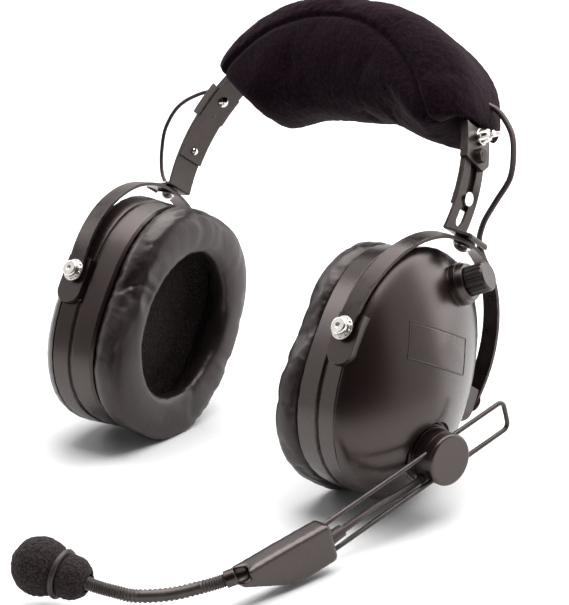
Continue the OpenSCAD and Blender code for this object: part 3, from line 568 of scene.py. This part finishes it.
# One section of the pad's skin, at an angle along the band
def padRing(angle, shrink):
    half = pad["halfAngle"]
    bulge = endBulge(angle)
    taper = cos(radians(90 * angle / (half + 6))) ** (0.25 if angle < 0 else 1)
    thick = pad["endThick"] + (pad["thick"] - pad["endThick"]) * taper
    width = (pad["width"] / 2 - 5 * (abs(angle) / half) ** 3) * shrink
    centre = (pad["radius"] - pad["seamDrop"]) * shrink + bandMiddle * (1 - shrink)
    hang = pad["hang"] + 2 * max(angle, 0) / half
    rise = pad["rise"] * bulge if angle > 0 else 0
    ring = []
    for i in range(pad["around"]):
        a = 2 * pi * i / pad["around"]
        roll = -hang * cos(a) ** 3 if cos(a) > 0 else rise * cos(a) ** 2
        if sin(a) > 0:
            skin = (pad["seamDrop"] + 3.5 * bulge) * signedPower(sin(a), 0.9)
        else:
            skin = (thick - pad["seamDrop"]) * signedPower(sin(a), 0.75)
        off = min(a % pi, pi - a % pi)
        seam = 1 - pad["groove"] * exp(-(off / 0.09) ** 2)
        r = centre + shrink * (roll + skin)
        turn = radians(angle)
        ring.append((r * sin(turn), -width * signedPower(cos(a), 0.8) * seam, r * cos(turn)))
    return ring


# The same at the channel that the band runs through
def channelRing(angle):
    ring = []
    for i in range(pad["around"]):
        a = 2 * pi * i / pad["around"]
        across = (band["width"] / 2 + 0.8) * signedPower(cos(a), 1 / 3)
        r = bandMiddle + ((band["outer"] - band["inner"]) / 2 + 0.7) * signedPower(sin(a), 1 / 3)
        ring.append((r * sin(radians(angle)), -across, r * cos(radians(angle))))
    return ring


# Share of the half angle, and the section's scale there
ends = [(1, 0.84), (0.985, 0.91), (0.95, 0.97), (0.89, 1)]
reach = [(-a, s) for a, s in ends]
reach += [(0.82 * (i / pad["along"] - 1), 1) for i in range(2 * pad["along"] + 1)]
reach += [(a, s) for a, s in reversed(ends)]
rings = [padRing(pad["halfAngle"] * a, s) for a, s in reach]
outerCount = len(rings)
rings += [channelRing(pad["halfAngle"] * reach[i][0]) for i in range(outerCount - 1, -1, -4)]
padFrame = bandFrame @ turned("Y", pad["shift"])
around = pad["around"]
padMesh = bpy.data.meshes.new("headPadCover")
points = [metres(padFrame, p) for ring in rings for p in ring]
faces = []
for j in range(len(rings)):
    following = (j + 1) % len(rings)
    for i in range(around):
        right = (i + 1) % around
        faces.append((j * around + i, following * around + i, following * around + right, j * around + right))
padMesh.from_pydata(points, [], faces)
padPiece = bpy.data.objects.new("headPadCover", padMesh)
scene.collection.objects.link(padPiece)
held = []
for j in range(len(rings)):
    for i in range(around):
        fixed = j >= outerCount or j in (0, outerCount - 1) or i % (around // 2) == 0
        held.append(1 if fixed else 0)
puff(padPiece, held, pad["pressure"], pad["grow"], pad["cap"])
subdivide(padPiece, 2)
padNormals = [v.normal.copy() for v in padPiece.data.vertices]
backPad = padFrame.inverted()
for v, normal in zip(padPiece.data.vertices, padNormals):
    p = backPad @ (v.co * 1000)
    swing = degrees(atan2(p.x, p.z))
    seamRadius = pad["radius"] - pad["seamDrop"]
    if p.y < 0:
        seamRadius -= pad["hang"] + 2 * max(swing, 0) / pad["halfAngle"]
    elif swing > 0:
        seamRadius += pad["rise"] * endBulge(swing)
    off = (hypot(p.x, p.z) - seamRadius) / pad["seamWidth"]
    groove = pad["seamDepth"] * exp(-off * off) if abs(p.y) > pad["seamFrom"] else 0
    big = noise.noise(v.co * pad["lumpScale"]) * 1.6
    small = noise.noise(v.co * pad["pileScale"]) + 0.6 * noise.noise(v.co * 800)
    v.co += normal * (pad["lumps"] * (big + 0.5 * small) - groove)
finishSoft(padPiece, "headband", "fleece", "head_pad")
print("head pad:", len(padPiece.data.vertices), "points")

# Ear seals: puffed vinyl over foam, with folds running across the side wall
seal = {
    "voxel": 0.0021, "pressure": 2.5, "grow": 0.02, "cap": 0.0012, "fill": 0.6,
    "folds": 0.00075, "faceFolds": 0.1, "back": -18.1, "heldDepth": 1.6,
    "centre": (-1, -4.2), "half": (41, 53), "round": 46, "seeds": {"l": 3, "r": 11},
}
centreY, centreZ = seal["centre"]


# Depth of the folds, from the length round the seal and the depth in its side wall
def fold(around, depth, seed):
    drift = noise.noise(Vector((around * 0.02, depth * 0.06, seed + 20)))
    slanted = around * 0.05 + depth * 0.07 + 1.3 * drift
    ridge = 1 - 2 * abs(noise.noise(Vector((slanted, depth * 0.03, seed))))
    small = 1 - 2 * abs(noise.noise(Vector((slanted * 2.6 + 7, depth * 0.09, seed + 5))))
    patch = min(1, max(0, 0.45 + 1.8 * noise.noise(Vector((around * 0.03, depth * 0.02, seed + 40)))))
    return patch * (max(0, ridge - 0.5) * 1.7 + max(0, small - 0.66) * 0.7)


for side in "lr":
    name = "earSealCover" + side.upper()
    piece = voxelCopy(name, "ear_seal_" + side, seal["voxel"])
    back = cupFrame[side].inverted()
    local = [back @ (v.co * 1000) for v in piece.data.vertices]
    held = [1 if p.x > seal["back"] - seal["heldDepth"] else 0 for p in local]
    puff(piece, held, seal["pressure"], seal["grow"], seal["cap"])
    subdivide(piece)
    normals = [v.normal.copy() for v in piece.data.vertices]
    for v, normal in zip(piece.data.vertices, normals):
        p = back @ (v.co * 1000)
        across, up = p.y - centreY, p.z - centreZ
        length = atan2(up, across) * seal["round"]
        depth = seal["back"] - p.x
        rimShare = hypot(across / seal["half"][0], up / seal["half"][1]) ** 4
        wall = min(1, max(0, depth / 2)) * min(1, rimShare)
        soft = seal["faceFolds"] * min(1, max(0, depth / 8))
        v.co -= normal * seal["folds"] * (wall + soft) * fold(length, depth, seal["seeds"][side])
    finishSoft(piece, "cup_" + side, "vinyl", "ear_seal_" + side)
    print("ear seal", side, len(piece.data.vertices), "points")

# Foam: the linings behind the ears, the rings inside the domes and the windscreen,
# with the voxel size and the depth of the pores
foams = {
    "foam_liner_l": ("foamLiningL", "cup_l", 0.0016, 0.00025),
    "foam_liner_r": ("foamLiningR", "cup_r", 0.0016, 0.00025),
    "dome_foam_l": ("domeFoamL", "cup_l", 0.002, 0.0002),
    "dome_foam_r": ("domeFoamR", "cup_r", 0.002, 0.0002),
    "windscreen": ("windscreenFoam", "mic", 0.00055, 0.0004),
}
for node, (name, body, size, rough) in foams.items():
    piece = voxelCopy(name, node, size)
    normals = [v.normal.copy() for v in piece.data.vertices]
    for v, normal in zip(piece.data.vertices, normals):
        v.co += normal * rough * (noise.noise(v.co * 900) + 0.6 * noise.noise(v.co * 260))
    finishSoft(piece, body, "foam", node)
print("foam pieces:", len(foams))

# Bare label plate on the left dome, with a thin plain border
plate = {
    "middle": (-10.5, 7.5), "size": (36, 15.5), "tilt": 7.5, "thick": 0.12, "lip": 0.2,
    "border": 0.5, "borderThick": 0.26, "cells": (30, 14), "sunk": -0.05, "castFrom": 60,
}
shellMesh = shells["dome_l"].data
shellPoints = [v.co for v in shellMesh.vertices]
domeTree = BVHTree.FromPolygons(shellPoints, [tuple(p.vertices) for p in shellMesh.polygons])
outward = (cupFrame["l"].to_3x3() @ Vector((1, 0, 0))).normalized()
plateTurn = turned("X", plate["tilt"]).to_3x3()


def onDome(across, up, height):
    local = plateTurn @ Vector((0, across, up)) + Vector((plate["castFrom"], *plate["middle"]))
    hit = domeTree.ray_cast(metres(cupFrame["l"], local), -outward)[0]
    return hit + outward * height / 1000


def steps(length, cells):
    inner = [(k / cells - 0.5) * (length - 2 * plate["lip"]) for k in range(cells + 1)]
    return [-length / 2] + inner + [length / 2]


def plateMesh(name, xs, ys, height):
    points, faces = [], []
    for row, y in enumerate(ys):
        for column, x in enumerate(xs):
            rim = column in (0, len(xs) - 1) or row in (0, len(ys) - 1)
            points.append(onDome(x, y, plate["sunk"] if rim else height))
    for row in range(len(ys) - 1):
        for column in range(len(xs) - 1):
            a = row * len(xs) + column
            faces.append((a, a + 1, a + len(xs) + 1, a + len(xs)))
    mesh = bpy.data.meshes.new(name)
    mesh.from_pydata(points, [], faces)
    for face in mesh.polygons:
        face.use_smooth = True
    return mesh


def borderMesh(name, w, h, spacing=1.2):
    corners = [(-w, -h), (w, -h), (w, h), (-w, h)]
    path = []
    for (x0, y0), (x1, y1) in zip(corners, corners[1:] + corners[:1]):
        count = round(hypot(x1 - x0, y1 - y0) / spacing)
        path += [(x0 + (x1 - x0) * k / count, y0 + (y1 - y0) * k / count) for k in range(count)]
    profile = ((0, plate["sunk"]), (0, plate["borderThick"]),
               (plate["border"], plate["borderThick"]), (plate["border"], plate["sunk"]))
    points = []
    for x, y in path:
        for inset, up in profile:
            points.append(onDome(x * (1 - inset / w), y * (1 - inset / h), up))
    faces = []
    for i in range(len(path)):
        following = (i + 1) % len(path)
        for k in range(3):
            faces.append((i * 4 + k, following * 4 + k, following * 4 + k + 1, i * 4 + k + 1))
    mesh = bpy.data.meshes.new(name)
    mesh.from_pydata(points, [], faces)
    return mesh


width, height = plate["size"]
cellsX, cellsY = plate["cells"]
xs, ys = steps(width, cellsX), steps(height, cellsY)
addPiece("labelPlate", plateMesh("labelPlate", xs, ys, plate["thick"]), "cup_l", "shell_plastic")
addPiece("labelBorder", borderMesh("labelBorder", width / 2, height / 2), "cup_l", "rubber")
print("label plate")

# Floor and light
ground = {"reach": 6, "colour": 0.94, "roughness": 0.7, "gloss": 0.2}
floorMesh = bpy.data.meshes.new("floor")
far = ground["reach"]
floorMesh.from_pydata([(-far, -far, 0), (far, -far, 0), (far, far, 0), (-far, far, 0)], [], [(0, 1, 2, 3)])
floor = bpy.data.objects.new("floor", floorMesh)
scene.collection.objects.link(floor)
floorMaterial, _, floorShader = newMaterial("floor")
floorShader.inputs["Base Color"].default_value = (*[ground["colour"]] * 3, 1)
floorShader.inputs["Roughness"].default_value = ground["roughness"]
floorShader.inputs["Specular IOR Level"].default_value = ground["gloss"]
floorMesh.materials.append(floorMaterial)

studio = {
    "overhead": {"place": (0.0, 0.45, 1.3), "aim": (0, 0, 0.05), "size": 1.8, "power": 52},
    "side": {"place": (0.68, 1.25, 0.48), "aim": (0.08, 0, 0.06), "size": 0.9, "power": 7},
    "left": {"place": (-1.1, -0.2, 0.9), "aim": (0, 0, 0.08), "size": 0.5, "power": 3},
}
for name, lamp in studio.items():
    data = bpy.data.lights.new(name, "AREA")
    data.shape = "SQUARE"
    data.size = lamp["size"]
    data.energy = lamp["power"]
    light = bpy.data.objects.new(name, data)
    scene.collection.objects.link(light)
    light.location = lamp["place"]
    light.rotation_euler = (Vector(lamp["aim"]) - Vector(lamp["place"])).to_track_quat("-Z", "Y").to_euler()

# White room with a dark part that the glossy pieces mirror, and a dim even light
room = {
    "white": (1, 1, 1), "dark": (0.02, 0.012, 0.012), "even": (0.16, 0.16, 0.16),
    "darkToward": (0.4920, -0.8523, 0.1740), "darkEdge": (0.42, 0.66),
}
world = bpy.data.worlds.new("studio")
scene.world = world
world.use_nodes = True
roomTree = world.node_tree
background = roomTree.nodes["Background"]
rays = add(roomTree, "ShaderNodeLightPath")
isCamera = rays.outputs["Is Camera Ray"]
seen = add(roomTree, "ShaderNodeMath", {0: isCamera, 1: rays.outputs["Is Glossy Ray"]}, operation="MAXIMUM")
seen = add(roomTree, "ShaderNodeMath",
           {0: seen.outputs[0], 1: rays.outputs["Is Transmission Ray"]}, operation="MAXIMUM")
direction = add(roomTree, "ShaderNodeTexCoord").outputs["Generated"]
toward = add(roomTree, "ShaderNodeVectorMath", {0: direction, 1: room["darkToward"]}, operation="DOT_PRODUCT")
dark = ramp(roomTree, toward.outputs["Value"], *room["darkEdge"])
notCamera = add(roomTree, "ShaderNodeMath", {0: 1.0, 1: isCamera}, operation="SUBTRACT")
dark = add(roomTree, "ShaderNodeMath", {0: dark, 1: notCamera.outputs[0]}, operation="MULTIPLY").outputs[0]
picture = mixColour(roomTree, dark, room["white"], room["dark"])
colour = mixColour(roomTree, seen.outputs[0], room["even"], picture)
roomTree.links.new(colour, background.inputs["Color"])
background.inputs["Strength"].default_value = 1
print("stage and light")
